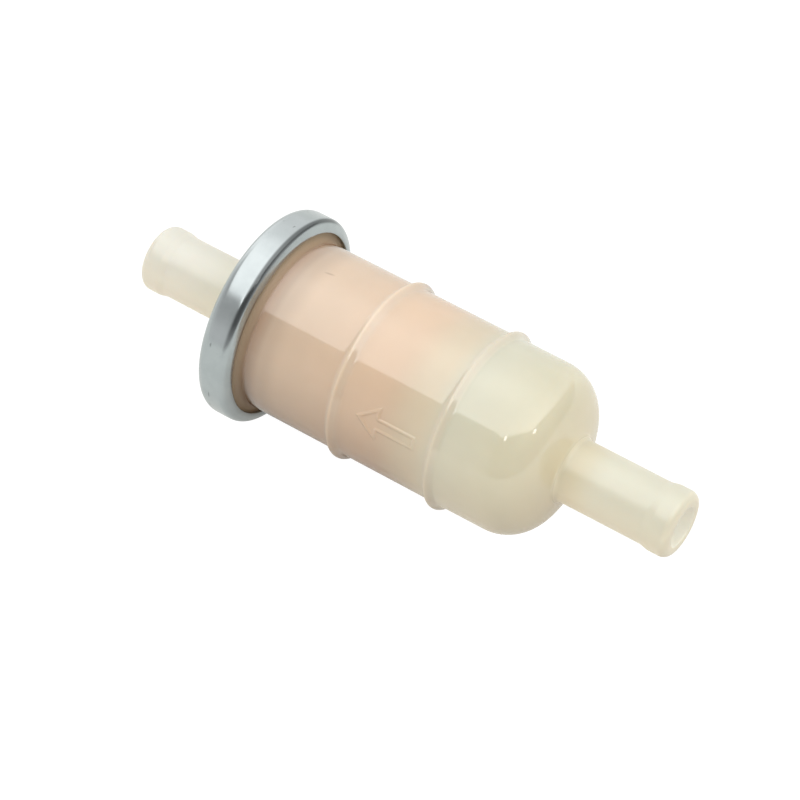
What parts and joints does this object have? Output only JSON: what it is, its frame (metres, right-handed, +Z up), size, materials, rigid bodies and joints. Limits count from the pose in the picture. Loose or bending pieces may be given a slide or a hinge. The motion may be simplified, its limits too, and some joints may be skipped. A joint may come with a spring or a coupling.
{
  "type": "in-line fuel filter",
  "caption": "Translucent nylon in-line fuel filter with a domed bowl, raised ribs, barbed hose nipples, a crimped steel ring and a pleated paper element inside.",
  "frame": {"origin": "on the filter's axis, in the middle of the round land of the outlet nipple's barb", "axes": "+X along the axis from the crimped cap to the domed end, +Z up with the filter lying level, +Y completes the right-handed frame"},
  "size_m": [0.0942, 0.034, 0.034],
  "materials": {
    "nylon": "translucent natural nylon, smooth moulded gloss",
    "plated_steel": "zinc plated, satin",
    "seal_rubber": "matte black",
    "filter_paper": "resin-treated paper, pinkish tan",
    "element_plastic": "plain natural plastic",
    "adhesive": "cured adhesive"
  },
  "bodies": {
    "root": {"housing_bowl": "nylon", "outlet_cap": "nylon", "crimp_ring": "plated_steel", "flange_o_ring": "seal_rubber", "filter_paper": "filter_paper", "core_tube": "element_plastic", "open_end_disc": "element_plastic", "closed_end_disc": "element_plastic", "open_end_bond": "adhesive", "closed_end_bond": "adhesive", "element_seal": "seal_rubber"}
  },
  "joints": []
}
